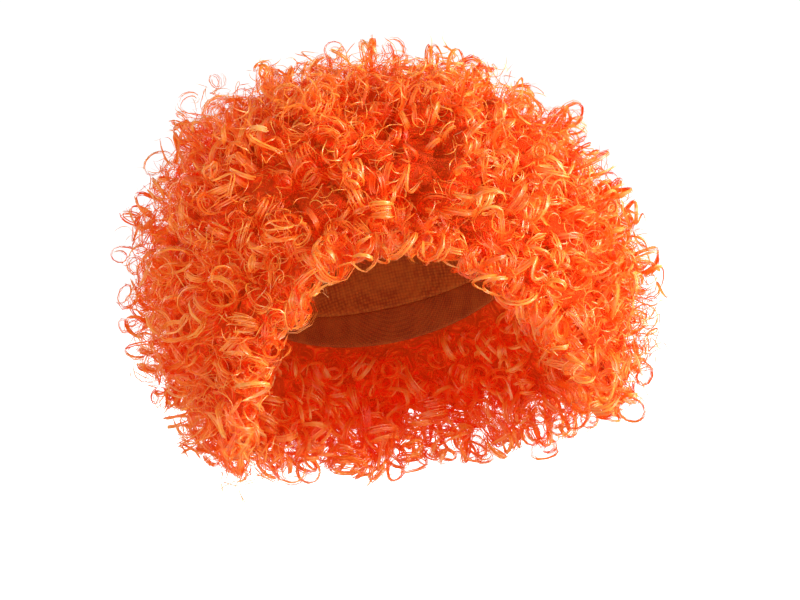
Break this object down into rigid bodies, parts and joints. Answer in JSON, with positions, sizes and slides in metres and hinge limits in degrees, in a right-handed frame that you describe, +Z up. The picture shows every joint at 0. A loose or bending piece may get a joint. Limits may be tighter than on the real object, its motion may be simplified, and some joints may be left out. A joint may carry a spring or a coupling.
{
  "type": "curly wig",
  "caption": "Curly costume wig: a round mass of short ringlets sewn in wefts over a domed stretch cap with an elastic edge, open at the face and neck.",
  "frame": {"origin": "inside the crown of the cap, where the top of the head bears", "axes": "+Z up, -Y out of the face opening, +X to the wearer's left"},
  "size_m": [0.2926, 0.2777, 0.2614],
  "materials": {
    "net": "knitted stretch net, matt",
    "elastic": "woven elastic, matt",
    "hair": "curled synthetic fibre with a soft sheen"
  },
  "bodies": {
    "root": {"cap": "net", "edge_band": "elastic", "crown_weft": "hair", "upper_weft": "hair", "lower_weft": "hair", "edge_weft": "hair"}
  },
  "joints": []
}
